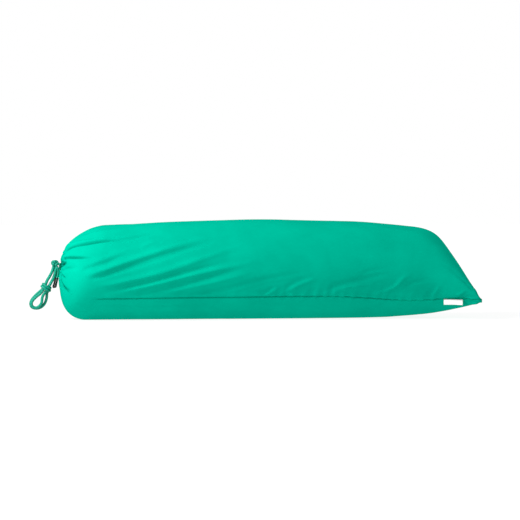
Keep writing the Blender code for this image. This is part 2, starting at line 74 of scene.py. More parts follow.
CORD_DIAMETER = 0.0045
CORD_FULL = 0.00245  # the braid's strands stand out a little from the cord's nominal radius
CHANNEL_RING = 0.0105
CHANNEL_OUTER = 0.0042
CHANNEL_X = LEFT_FACE + DIMPLE_DEPTH - CHANNEL_OUTER - 0.0006
KNOT_CENTRE = Vector((-0.3605, -0.003, 0.094))
KNOT_RADIUS = 0.0056
STRAND_START = KNOT_RADIUS + 0.0012
TIP_LENGTH = 0.0175
TIP_RADIUS = 0.0028
STRANDS_Y = -0.0054
STRANDS = (
    (-0.3629, 0.08), (-0.3655, 0.0714), (-0.3687, 0.065),
    (-0.372, 0.0592), (-0.3757, 0.0533),
)
STRAND_OFFSET = 0.0027
LEFT_BOWS = 0.0022  # the left strands bow away from the right ones halfway down
FRONT_LOOP = (
    (-0.3845, 0.0452), (-0.3925, 0.0384), (-0.3989, 0.0317),
    (-0.4008, 0.0257), (-0.3983, 0.0209), (-0.3925, 0.0194),
    (-0.3866, 0.0228), (-0.383, 0.029), (-0.3814, 0.039),
)
BACK_LOOP = (
    (-0.3855, 0.047), (-0.3922, 0.041), (-0.3987, 0.0335),
    (-0.4012, 0.0265), (-0.3987, 0.0208), (-0.3917, 0.019),
    (-0.3842, 0.021), (-0.3785, 0.0268), (-0.3755, 0.035),
    (-0.3748, 0.043),
)
LABEL_HINGE = Vector((0.31125, -0.08906, 0.03311))
LABEL_ALONG = Vector((-0.8687, 0.49526, 0.00908)).normalized()
LABEL_WIDTH, LABEL_DROP = 0.0335, 0.0093
LABEL_PLY = 0.00045
END_LEAVES = ((135.0, 40.0), (-135.0, 40.0))
FRONT_END = ((-0.3551, -0.0066, 0.0815), (-0.3558, -0.0072, 0.076), (-0.3572, -0.0076, 0.07))
BACK_END = ((-0.3551, 0.0004, 0.0815), (-0.3561, 0.0008, 0.0755), (-0.358, 0.0012, 0.069))

# ---- camera, floor and light

TARGET = Vector((-0.0085, 0.0, 0.099))
CAMERA_AZIMUTH, CAMERA_ELEVATION, CAMERA_DISTANCE = math.radians(-8.0), math.radians(1.5), 4.0
PIXEL, PICTURE = 0.00172, 520  # a pixel's size at the target, and the picture's size in pixels
SENSOR = 36.0
LENS = SENSOR * CAMERA_DISTANCE / PIXEL / PICTURE
WORLD_FILL = 0.4
FLOOR_REACH = 14.0
FLOOR_DROP = 0.0006
FLOOR_GREY = 0.17
GLOW_FROM, GLOW_TO = 0.5, 2.2  # the sweep's glow rises between these distances
GLOW_NEAR, GLOW_FAR = 0.86, 1.0
FLOOR_BOUNCE = 0.84  # how much of the sweep's glow reaches the object


def aim(obj, target):
    """Turns a camera or a lamp to face target."""
    obj.rotation_euler = (Vector(target) - obj.location).to_track_quat("-Z", "Y").to_euler()


def make_camera():
    data = bpy.data.cameras.new("camera")
    data.sensor_width = SENSOR
    data.lens = LENS
    data.clip_start, data.clip_end = 0.05, 60.0
    camera = bpy.data.objects.new("camera", data)
    scene.collection.objects.link(camera)
    flat = math.cos(CAMERA_ELEVATION)
    x, y = math.sin(CAMERA_AZIMUTH) * flat, -math.cos(CAMERA_AZIMUTH) * flat
    back = Vector((x, y, math.sin(CAMERA_ELEVATION)))
    camera.location = TARGET + back * CAMERA_DISTANCE
    aim(camera, TARGET)
    scene.camera = camera


def make_area(name, place, target, size, power):
    data = bpy.data.lights.new(name, "AREA")
    data.shape = "RECTANGLE"
    data.size, data.size_y = size
    data.energy = power
    lamp = bpy.data.objects.new(name, data)
    scene.collection.objects.link(lamp)
    lamp.location = place
    aim(lamp, target)


def make_world():
    """Even studio light, and a white backdrop wherever the camera sees past the floor."""
    world = bpy.data.worlds.new("studio")
    world.use_nodes = True
    nodes, links = world.node_tree.nodes, world.node_tree.links
    nodes.clear()
    out = nodes.new("ShaderNodeOutputWorld")
    pick = nodes.new("ShaderNodeMixShader")
    path = nodes.new("ShaderNodeLightPath")
    links.new(path.outputs["Is Camera Ray"], pick.inputs[0])
    for place, strength in ((1, WORLD_FILL), (2, 1.0)):
        white = nodes.new("ShaderNodeBackground")
        white.inputs[0].default_value = (1.0, 1.0, 1.0, 1.0)
        white.inputs[1].default_value = strength
        links.new(white.outputs[0], pick.inputs[place])
    links.new(pick.outputs[0], out.inputs[0])
    scene.world = world


def make_stage():
    mesh = bpy.data.meshes.new("floor")
    reach = FLOOR_REACH
    corners = [(-reach, -reach, 0), (reach, -reach, 0), (reach, reach, 0), (-reach, reach, 0)]
    mesh.from_pydata(corners, [], [(0, 1, 2, 3)])
    floor = bpy.data.objects.new("floor", mesh)
    scene.collection.objects.link(floor)
    floor.location.z = -FLOOR_DROP
    surface, shader, nodes, links = principled("floor_white", (FLOOR_GREY,) * 3, 0.95)
    shader.inputs["Specular IOR Level"].default_value = 0.1
    # the sweep glows as it runs back, so that it meets the white backdrop without a line
    place = nodes.new("ShaderNodeTexCoord").outputs["Object"]
    away = node(nodes, "ShaderNodeVectorMath", operation="LENGTH")
    links.new(place, away.inputs[0])
    glow = nodes.new("ShaderNodeMapRange")
    glow.inputs["From Min"].default_value = GLOW_FROM
    glow.inputs["From Max"].default_value = GLOW_TO
    glow.inputs["To Min"].default_value = GLOW_NEAR
    glow.inputs["To Max"].default_value = GLOW_FAR
    links.new(away.outputs["Value"], glow.inputs["Value"])
    shader.inputs["Emission Color"].default_value = (1.0, 1.0, 1.0, 1.0)
    seen = nodes.new("ShaderNodeLightPath")
    dim = nodes.new("ShaderNodeMapRange")
    dim.inputs["To Min"].default_value = FLOOR_BOUNCE
    links.new(seen.outputs["Is Camera Ray"], dim.inputs["Value"])
    strength = calculate(nodes, links, "MULTIPLY", glow.outputs[0], dim.outputs[0])
    links.new(strength, shader.inputs["Emission Strength"])
    mesh.materials.append(surface)


# ---- materials


def principled(name, colour, roughness):
    surface = bpy.data.materials.new(name)
    surface.use_nodes = True
    nodes, links = surface.node_tree.nodes, surface.node_tree.links
    shader = nodes["Principled BSDF"]
    shader.inputs["Base Color"].default_value = (*colour, 1.0)
    shader.inputs["Roughness"].default_value = roughness
    return surface, shader, nodes, links


def node(nodes, kind, **values):
    made = nodes.new(kind)
    for key, value in values.items():
        if hasattr(made, key):
            setattr(made, key, value)
        else:
            made.inputs[key.replace("_", " ")].default_value = value
    return made


def blend_colours(nodes, links, factor, low, high):
    """A colour that runs from low to high as factor goes from 0 to 1."""
    ramp = nodes.new("ShaderNodeValToRGB")
    ramp.color_ramp.elements[0].color = (*low, 1.0)
    ramp.color_ramp.elements[1].color = (*high, 1.0)
    links.new(factor, ramp.inputs[0])
    return ramp


def calculate(nodes, links, operation, first, second=0.0):
    """The result of a math node. second is a number or another node's result."""
    made = node(nodes, "ShaderNodeMath", operation=operation)
    links.new(first, made.inputs[0])
    if isinstance(second, float):
        made.inputs[1].default_value = second
    else:
        links.new(second, made.inputs[1])
    return made.outputs[0]


def emboss(nodes, links, shader, height, strength, distance):
    relief = node(nodes, "ShaderNodeBump", Strength=strength, Distance=distance)
    links.new(height, relief.inputs["Height"])
    links.new(relief.outputs[0], shader.inputs["Normal"])


CREASE_SHADE = 0.5  # how much darker the painted shade makes cloth where it is deepest, as at the bottom of a sharp crease


def cotton(name, colour, roughness=0.72, sheen=0.0, weave=2600.0, slub=0.06, bump=0.05):
    """Plain woven cotton: fine threads both ways, uneven threads, a slightly mottled dye, and
    painted shade read from each point.
    """
    surface, shader, nodes, links = principled(name, colour, roughness)
    place = nodes.new("ShaderNodeTexCoord").outputs["Object"]
    mottle = node(nodes, "ShaderNodeTexNoise", Scale=22.0, Detail=5.0, Roughness=0.6)
    links.new(place, mottle.inputs["Vector"])
    dark = tuple(c * (1.0 - slub) for c in colour)
    light = tuple(min(1.0, c * (1.0 + slub)) for c in colour)
    ramp = blend_colours(nodes, links, mottle.outputs[0], dark, light)
    ramp.color_ramp.elements[0].position = 0.3
    ramp.color_ramp.elements[1].position = 0.7
    # painted shade: the colour is darkened by each point's stored shade, in creases, recesses,
    # along seams and in the near corner
    shade = node(nodes, "ShaderNodeAttribute", attribute_name="painted_shade")
    deep = nodes.new("ShaderNodeMix")
    deep.data_type = "RGBA"
    deep.blend_type = "MULTIPLY"
    deep.inputs[7].default_value = (*(CREASE_SHADE,) * 3, 1.0)
    links.new(shade.outputs["Fac"], deep.inputs[0])
    links.new(ramp.outputs[0], deep.inputs[6])
    links.new(deep.outputs[2], shader.inputs["Base Color"])
    heights = []
    for stretch in ((1.0, 0.06, 0.06), (0.06, 1.0, 1.0)):
        run = node(nodes, "ShaderNodeMapping")
        run.inputs["Scale"].default_value = stretch
        links.new(place, run.inputs["Vector"])
        thread = node(nodes, "ShaderNodeTexNoise", Scale=weave, Detail=2.0, Roughness=0.5)
        links.new(run.outputs[0], thread.inputs["Vector"])
        heights.append(thread.outputs[0])
    emboss(nodes, links, shader, calculate(nodes, links, "ADD", *heights), bump, 0.0004)
    shader.inputs["Sheen Weight"].default_value = sheen
    shader.inputs["Sheen Roughness"].default_value = 0.45
    tint = (*(c / max(colour) for c in colour), 1.0)
    shader.inputs["Sheen Tint"].default_value = tint
    shader.inputs["Specular Tint"].default_value = tint
    shader.inputs["Specular IOR Level"].default_value = 0.0
    return surface


BRAID_PITCH = 0.0036
BRAID_STRANDS = 8.0
BRAID_SHADE = 0.42  # the painted shade between the strands, as a share of the cord's colour


def braid(name, colour):
    """Braided satin cord. U runs along the cord in metres and V once round it."""
    surface, shader, nodes, links = principled(name, colour, 0.4)
    shader.inputs["Specular Tint"].default_value = (0.45, 1.0, 0.85, 1.0)
    split = nodes.new("ShaderNodeSeparateXYZ")
    links.new(nodes.new("ShaderNodeUVMap").outputs[0], split.inputs[0])
    strands = []
    for turn in (1.0, -1.0):
        rate = turn * math.pi * BRAID_STRANDS
        along = calculate(nodes, links, "MULTIPLY", split.outputs[0], 2.0 * math.pi / BRAID_PITCH)
        round_it = calculate(nodes, links, "MULTIPLY", split.outputs[1], rate)
        angle = calculate(nodes, links, "ADD", along, round_it)
        strands.append(calculate(nodes, links, "SINE", angle))
    over = calculate(nodes, links, "MAXIMUM", *strands)
    level = node(nodes, "ShaderNodeMapRange")
    level.inputs["From Min"].default_value = -0.6
    links.new(over, level.inputs["Value"])
    # painted shade in the grooves between the braid's strands
    dark = tuple(c * BRAID_SHADE for c in colour)
    ramp = blend_colours(nodes, links, level.outputs[0], dark, colour)
    links.new(ramp.outputs[0], shader.inputs["Base Color"])
    emboss(nodes, links, shader, level.outputs[0], 0.6, 0.0003)
    return surface


def speckled(name, colour, roughness, scale, spread, bump, distance=0.0005):
    """A plain surface whose colour and height vary a little."""
    surface, shader, nodes, links = principled(name, colour, roughness)
    place = nodes.new("ShaderNodeTexCoord").outputs["Object"]
    grain = node(nodes, "ShaderNodeTexNoise", Scale=scale, Detail=4.0, Roughness=0.6)
    links.new(place, grain.inputs["Vector"])
    dark = tuple(c * (1.0 - spread) for c in colour)
    light = tuple(min(1.0, c * (1.0 + spread)) for c in colour)
    ramp = blend_colours(nodes, links, grain.outputs[0], dark, light)
    links.new(ramp.outputs[0], shader.inputs["Base Color"])
    emboss(nodes, links, shader, grain.outputs[0], bump, distance)
    return surface


# ---- curves and tubes


def mix(a, b, t):
    return a + (b - a) * t


def ease(t):
    t = np.clip(t, 0.0, 1.0)
    return t * t * (3 - 2 * t)


def smooth_route(points, spacing):
    """Points every spacing or so along a smooth curve through the route's own points."""
    route = [Vector(p) for p in points]
    fine = []
    for i in range(len(route) - 1):
        before = route[max(i - 1, 0)]
        start, end = route[i], route[i + 1]
        after = route[min(i + 2, len(route) - 1)]
        steps = max(1, round((end - start).length / spacing))
        for k in range(steps):
            t = k / steps
            point = 2 * start + (end - before) * t
            point += (2 * before - 5 * start + 4 * end - after) * t**2
            point += (3 * start - before - 3 * end + after) * t**3
            fine.append(0.5 * point)
    return fine + [route[-1]]


def frames_along(points, closed):
    """A side and an up direction at each point, turning as little as possible."""
    count = len(points)
    runs = []
    for i in range(count):
        before = points[i - 1] if closed or i else points[0]
        after = points[(i + 1) % count] if closed or i < count - 1 else points[-1]
        runs.append((after - before).normalized())
    first = Vector((0.0, 1.0, 0.0))
    if abs(runs[0].dot(first)) > 0.9:
        first = Vector((1.0, 0.0, 0.0))
    side = (first - runs[0] * first.dot(runs[0])).normalized()
    frames = []
    for run in runs:
        side = (side - run * side.dot(run)).normalized()
        frames.append((side, run.cross(side)))
    return frames


def ring_faces(rings, sides, closed=False):
    """Four-cornered faces between rings of points that follow one another."""
    faces = []
    for i in range(rings if closed else rings - 1):
        a, b = i * sides, (i + 1) % rings * sides
        for k in range(sides):
            n = (k + 1) % sides
            faces.append((a + k, a + n, b + n, b + k))
    return faces


CORD_SIDES = 14


def tube(name, points, radius, surface, closed=False):
    """A round tube along points, with U along it in metres and V round it."""
    sides = CORD_SIDES
    frames = frames_along(points, closed)
    verts, uv_rows = [], []
    travelled = 0.0
    for i, (point, (side, up)) in enumerate(zip(points, frames)):
        if i:
            travelled += (point - points[i - 1]).length
        for k in range(sides):
            turn = 2 * math.pi * k / sides
            verts.append(point + (side * math.cos(turn) + up * math.sin(turn)) * radius)
        uv_rows.append(travelled)
    count = len(points)
    faces, uvs = ring_faces(count, sides, closed), []
    for i in range(count if closed else count - 1):
        j = (i + 1) % count
        ahead = uv_rows[j] if j else travelled + (points[0] - points[-1]).length
        for k in range(sides):
            low, high = k / sides, (k + 1) / sides
            uvs += [(uv_rows[i], low), (uv_rows[i], high), (ahead, high), (ahead, low)]
    if not closed:
        faces.append(tuple(reversed(range(sides))))
        uvs += [(0.0, k / sides) for k in reversed(range(sides))]
        last = (count - 1) * sides
        faces.append(tuple(last + k for k in range(sides)))
        uvs += [(travelled, k / sides) for k in range(sides)]
    return mesh_object(name, verts, faces, surface, uvs)


def mesh_object(name, verts, faces, surface, uvs=None):
    mesh = bpy.data.meshes.new(name)
    mesh.from_pydata([tuple(v) for v in verts], [], faces)
    if uvs is not None:
        layer = mesh.uv_layers.new(name="UVMap")
        layer.data.foreach_set("uv", np.array(uvs, np.float32).ravel())
    mesh.materials.append(surface)
    mesh.polygons.foreach_set("use_smooth", np.ones(len(mesh.polygons), bool))
    mesh.update()
    made = bpy.data.objects.new(name, mesh)
    scene.collection.objects.link(made)
    return made


def paint_shade(made, painted_shade):
    """Stores each point's painted shade, which the cotton material darkens its colour by."""
    shade = made.data.attributes.new("painted_shade", "FLOAT", "POINT")
    shade.data.foreach_set("value", painted_shade.astype(np.float32).ravel())


# ---- the drawstring and its bow


def leaving(around, up):
    """The first two points of a strand that leaves the knot."""
    around, up = math.radians(around), math.radians(up)
    flat = math.sin(up)
    out = Vector((-math.cos(around) * flat, -math.sin(around) * flat, -math.cos(up)))
    return [KNOT_CENTRE + out * STRAND_START, KNOT_CENTRE + out * (STRAND_START + 0.002)]


def out_of_knot(side, depth):
    """Where a loop's strand leaves the knot's underside, side -1 left or 1 right."""
    return [
        KNOT_CENTRE + Vector((side * 0.001, depth * 0.3, -0.001)),
        KNOT_CENTRE + Vector((side * 0.0021 - 0.0006, depth * 0.7 - 0.0006, -0.0058)),
    ]


def strand(side, depth):
    """One of the four strands, from the knot to the second knot."""
    points = []
    for k, (x, z) in enumerate(STRANDS):
        before, after = STRANDS[max(k - 1, 0)], STRANDS[min(k + 1, len(STRANDS) - 1)]
        run = Vector((after[0] - before[0], 0.0, after[1] - before[1])).normalized()
        across = Vector((-run.z, 0.0, run.x))
        bow = LEFT_BOWS * math.sin(math.pi * k / (len(STRANDS) - 1))
        apart = side if side > 0.0 else side - bow
        points.append(Vector((x, STRANDS_Y + depth, z)) + across * apart)
    return points


KNOT_POINTS = 96
KNOT_RING, KNOT_LOBES, KNOT_WAVE = 0.0031, 0.0014, 0.0032  # radius, its change, and depth
KNOT_SHIFT = Vector((-0.0002, -0.0014, 0.0004))
WRAP_TURNS, WRAP_RING, WRAP_HEIGHT = 2, 0.0077, 0.0088
ROUTE_STEP = 0.0012


def free_cord(name, route, radius, green):
    """One of the bow's cords, smooth along its route."""
    points = smooth_route(route, ROUTE_STEP)
    cord = tube(name + "_cord", points, radius, green)
    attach(cord, "tie")
    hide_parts(name)


def make_bow(green, black):
    """The loops, the knots, the cord's two ends and their tips."""
    turns = []
    for k in range(KNOT_POINTS):
        t = 2 * math.pi * k / KNOT_POINTS
        ring = KNOT_RING + KNOT_LOBES * math.cos(3 * t)
        around = 2 * t + 0.5
        flat = Vector((math.cos(around), 0.0, math.sin(around))) * ring
        deep = Vector((0.0, KNOT_WAVE * math.sin(3 * t), 0.0))
        turns.append(KNOT_CENTRE + flat + deep + KNOT_SHIFT)
    knot = tube("gather_knot_turns", turns, CORD_FULL, green, closed=True)
    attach(knot, "tie_top")
    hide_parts("gather_knot")

    (x, z), (above_x, above_z) = STRANDS[-1], STRANDS[-2]
    centre = Vector((x, STRANDS_Y, z))
    axis = Vector((x - above_x, 0.0, z - above_z)).normalized()
    across = axis.cross(Vector((0.0, 1.0, 0.0))).normalized()
    other = axis.cross(across)
    wraps = []
    for k in range(KNOT_POINTS):
        share = k / (KNOT_POINTS - 1)
        t = 2 * math.pi * WRAP_TURNS * share
        rise = (share - 0.5) * WRAP_HEIGHT + 0.0012 * math.sin(t + 0.6)
        ring = WRAP_RING - 0.0018 * abs(2 * share - 1) ** 6
        wraps.append(centre + (across * math.cos(t) + other * math.sin(t)) * ring + axis * rise)
    wrap = tube("loop_knot_turns", wraps, CORD_DIAMETER * 0.52, green)
    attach(wrap, "tie")
    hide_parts("loop_knot")

    bows = (
        ("bow_loop_front", FRONT_LOOP, -STRAND_OFFSET, 0.97),
        ("bow_loop_back", BACK_LOOP, STRAND_OFFSET, 1.05),
    )
    for name, loop, depth, spread in bows:
        route = out_of_knot(-1, depth) + strand(-STRAND_OFFSET, depth)
        middle = Vector((sum(x for x, z in loop), 0.0, sum(z for x, z in loop))) / len(loop)
        for x, z in loop:
            point = middle.lerp(Vector((x, 0.0, z)), spread)
            route.append(point + Vector((0.0, STRANDS_Y + depth, 0.0)))
        route += reversed(out_of_knot(1, depth) + strand(STRAND_OFFSET, depth))
        free_cord(name, route, CORD_FULL, green)
    for side, end, leaves in zip(("front", "back"), (FRONT_END, BACK_END), END_LEAVES):
        route = leaving(*leaves) + [Vector(point) for point in end]
        run = (route[-1] - route[-2]).normalized()
        tip = make_tip("cord_tip_%s_moulded" % side, route[-1], run, black)
        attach(tip, "tie")
        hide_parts("cord_tip_" + side)
        route = [KNOT_CENTRE.lerp(route[0], 0.1)] + route + [route[-1] + run * 0.006]
        free_cord("cord_end_" + side, route, CORD_DIAMETER / 2, green)


def make_tip(name, start, run, black):
    """A moulded tip: a rolled lip where the cord goes in, a waisted barrel and a round end."""
    profile = (
        (0.0, 0.8), (0.0, 0.96), (0.03, 1.04), (0.08, 1.04),
        (0.11, 0.97), (0.3, 0.93), (0.55, 0.9), (0.72, 0.95),
        (0.84, 0.95), (0.92, 0.8), (0.97, 0.52), (1.0, 0.05),
    )
    side = run.cross(Vector((0.0, 1.0, 0.0))).normalized()
    up = run.cross(side)
    sides = 28
    verts = []
    for along, wide in profile:
        for k in range(sides):
            turn = 2 * math.pi * k / sides
            out = side * math.cos(turn) + up * math.sin(turn)
            verts.append(start + run * (along * TIP_LENGTH) + out * (wide * TIP_RADIUS))
    faces = [(b, a, d, c) for a, b, c, d in ring_faces(len(profile), sides)]
    faces.append(tuple(range(sides)))
    faces.append(tuple(reversed(range((len(profile) - 1) * sides, len(profile) * sides))))
    return mesh_object(name, verts, faces, black)


# ---- the cover's surface


def curve_at(x, column):
    """The barrel's half width, bottom or top at x, on the smooth curve through its sections."""
    xs = np.array([s[0] for s in BARREL])
    ys = np.array([s[column] for s in BARREL])
    last = len(xs) - 1
    ahead = np.minimum(np.arange(last + 1) + 1, last)
    behind = np.maximum(np.arange(last + 1) - 1, 0)
    slopes = (ys[ahead] - ys[behind]) / (xs[ahead] - xs[behind])
    x = np.asarray(x, float)
    i = np.clip(np.searchsorted(xs, x, side="right") - 1, 0, last - 1)
    span = xs[i + 1] - xs[i]
    t = np.clip((x - xs[i]) / span, 0.0, 1.0)
    value = (2 * t**3 - 3 * t**2 + 1) * ys[i] + (t**3 - 2 * t**2 + t) * span * slopes[i]
    value += (3 * t**2 - 2 * t**3) * ys[i + 1] + (t**3 - t**2) * span * slopes[i + 1]
    value += np.minimum(x - xs[0], 0.0) * slopes[0] + np.maximum(x - xs[last], 0.0) * slopes[last]
    return value


def section(x, turn):
    """Points of the barrel's section at x, turn degrees round from the long seam."""
    twist = SEAM_TWIST * ease((x - TWIST_FROM) / (WEDGE_START - TWIST_FROM))
    angle = np.radians(SEAM_ANGLE + twist + turn)
    bottom, top = curve_at(x, 2), curve_at(x, 3)
    height = mix(bottom, top, 0.5 + 0.5 * np.sin(angle))
    x = np.broadcast_to(x, height.shape)
    return np.stack([x, -curve_at(x, 1) * np.cos(angle), np.maximum(height, 0.0)], -1)


def from_mouth(points):
    """How far points are from the line along the bolster through the mouth."""
    return np.hypot(points[..., 1], points[..., 2] - GATHER_HEIGHT)


def dome_depth(turn, share):
    """Where the gathered end is along x, share of the way out from its middle."""
    up = 0.5 + 0.5 * np.sin(np.radians(SEAM_ANGLE + turn))
    depth = mix(DOME_DEPTH_BOTTOM, DOME_DEPTH_TOP, up)
    power = mix(DOME_POWER_BOTTOM, DOME_POWER_TOP, up)
    share = np.clip(share, 0.0, 1.0)
    return LEFT_FACE + depth * (1 - (1 - share**power) ** (1 / power))


def dome(share, turn):
    """Points of the gathered end, from its middle, share 0, to the barrel, share 1."""
    rim = section(dome_depth(turn, 1.0), turn)
    place = np.empty(np.broadcast(share, turn).shape + (3,))
    place[..., 1] = rim[..., 1] * share
    place[..., 2] = mix(GATHER_HEIGHT, rim[..., 2], share)
    reach = from_mouth(place)
    sink = 1 - ease((reach - DIMPLE_FROM) / (DIMPLE_TO - DIMPLE_FROM))
    place[..., 0] = dome_depth(turn, share) + DIMPLE_DEPTH * sink
    return place


def end_seam(turn):
    """Where the cloth at turn meets the end seam."""
    share = np.where(turn <= 180.0, turn, 360.0 - turn) / 180.0
    drawn = 0.5 * (2 * np.minimum(share, 1 - share)) ** EAR_DRAW
    along = np.where(share < 0.5, drawn, 1 - drawn)
    bow = 1 - (2 * along - 1) ** 2
    side = np.where((share <= 0.0) | (share >= 1.0), 0.0, np.where(turn < 180.0, 1.0, -1.0))
    place = mix(np.array(NEAR_EAR), np.array(FAR_EAR), along[..., None])
    thick = SEAM_THICKNESS + EAR_THICKNESS * np.exp(-((along / 0.06) ** 2))
    place[..., 2] += side * thick / 2 - SEAM_DROOP * bow
    return place


def wedge(v, turn):
    """Taut cloth from the barrel, v 0, over the shoulder and straight to the end seam, v 1."""
    step = 0.002
    a = section(np.full_like(turn, WEDGE_START), turn)
    b = a + (section(np.full_like(turn, WEDGE_START + step), turn) - a) / step * SHOULDER
    d = end_seam(turn)
    c = mix(d, b, FULLNESS)
    v = v[..., None]
    return a * (1 - v) ** 3 + b * 3 * v * (1 - v) ** 2 + c * 3 * v**2 * (1 - v) + d * v**3


def seam_turns():
    """Degrees round from the long seam, close together beside it, the same on both sides."""
    half = [*np.arange(0.0, 6.0, 0.45), *np.linspace(6.0, 180.0, 152)]
    return np.array(half + [360.0 - t for t in reversed(half[1:-1])])


DOME_STATIONS, BARREL_STATIONS, WEDGE_STATIONS = 62, 160, 48
MM = 0.001
MEAN_RADIUS = 0.09  # turns an angle round the barrel into a distance
PLEATS, PLEAT_HEIGHT = 9.0, 0.003
SMALL_GATHERS, GATHER_DEPTH = 19.0, 0.0008
POCKET_Y, POCKET_LONG, POCKET_Z, POCKET_HIGH = -0.012, 0.03, 0.094, 0.0044
POCKET_DEPTH = 0.004
GROOVE_DEPTH = 0.0019
PUCKER_PITCH, PUCKER_HEIGHT = 0.017, 0.00095  # along the long seam
TUCK_PITCH, TUCK_HEIGHT = 0.019, 0.0006  # along the end seam
SWELL_HEIGHT = 0.0007
SHARP = 3.0  # in millimetres: a valley with a smaller half width is a sharp crease
SOFT_SHADE = 0.1  # how dark the bottom of a soft valley is beside a sharp one
SOFT_DEEP = 2.8  # in millimetres: a soft valley this deep gets all of that shade
DEEPEST = 0.0027  # no valley goes deeper, which keeps the cover off the inner case
DEEPER = 0.0045  # except over the gathered end, where the case lies further in
EAR_PUFF = 0.0007  # the turned cloth in the near corner rounds it off


def cover_grid():
    """The cover's plain surface as rows of points, one row per station along it."""
    turns = seam_turns()
    rim = section(dome_depth(turns, 1.0), turns)
    reach = from_mouth(rim)
    rows = []
    for k in range(DOME_STATIONS):
        t = k / DOME_STATIONS
        share = mix(MOUTH_RADIUS / reach, 1.0, 1 - (1 - t) ** 1.7)
        rows.append(dome(share, turns))
    start = dome_depth(turns, 1.0)
    for k in range(BARREL_STATIONS):
        t = k / BARREL_STATIONS
        rows.append(section(mix(start, WEDGE_START, t), turns))
    for k in range(WEDGE_STATIONS + 1):
        v = k / WEDGE_STATIONS
        rows.append(wedge(np.full_like(turns, v), turns))
    return np.array(rows), turns


def grid_normals(grid):
    """Outward unit normals of the grid."""
    along = np.gradient(grid, axis=0)
    around = np.roll(grid, -1, axis=1) - np.roll(grid, 1, axis=1)
    out = np.cross(along, around)
    size = np.linalg.norm(out, axis=-1, keepdims=True)
    return out / np.maximum(size, 1e-12)


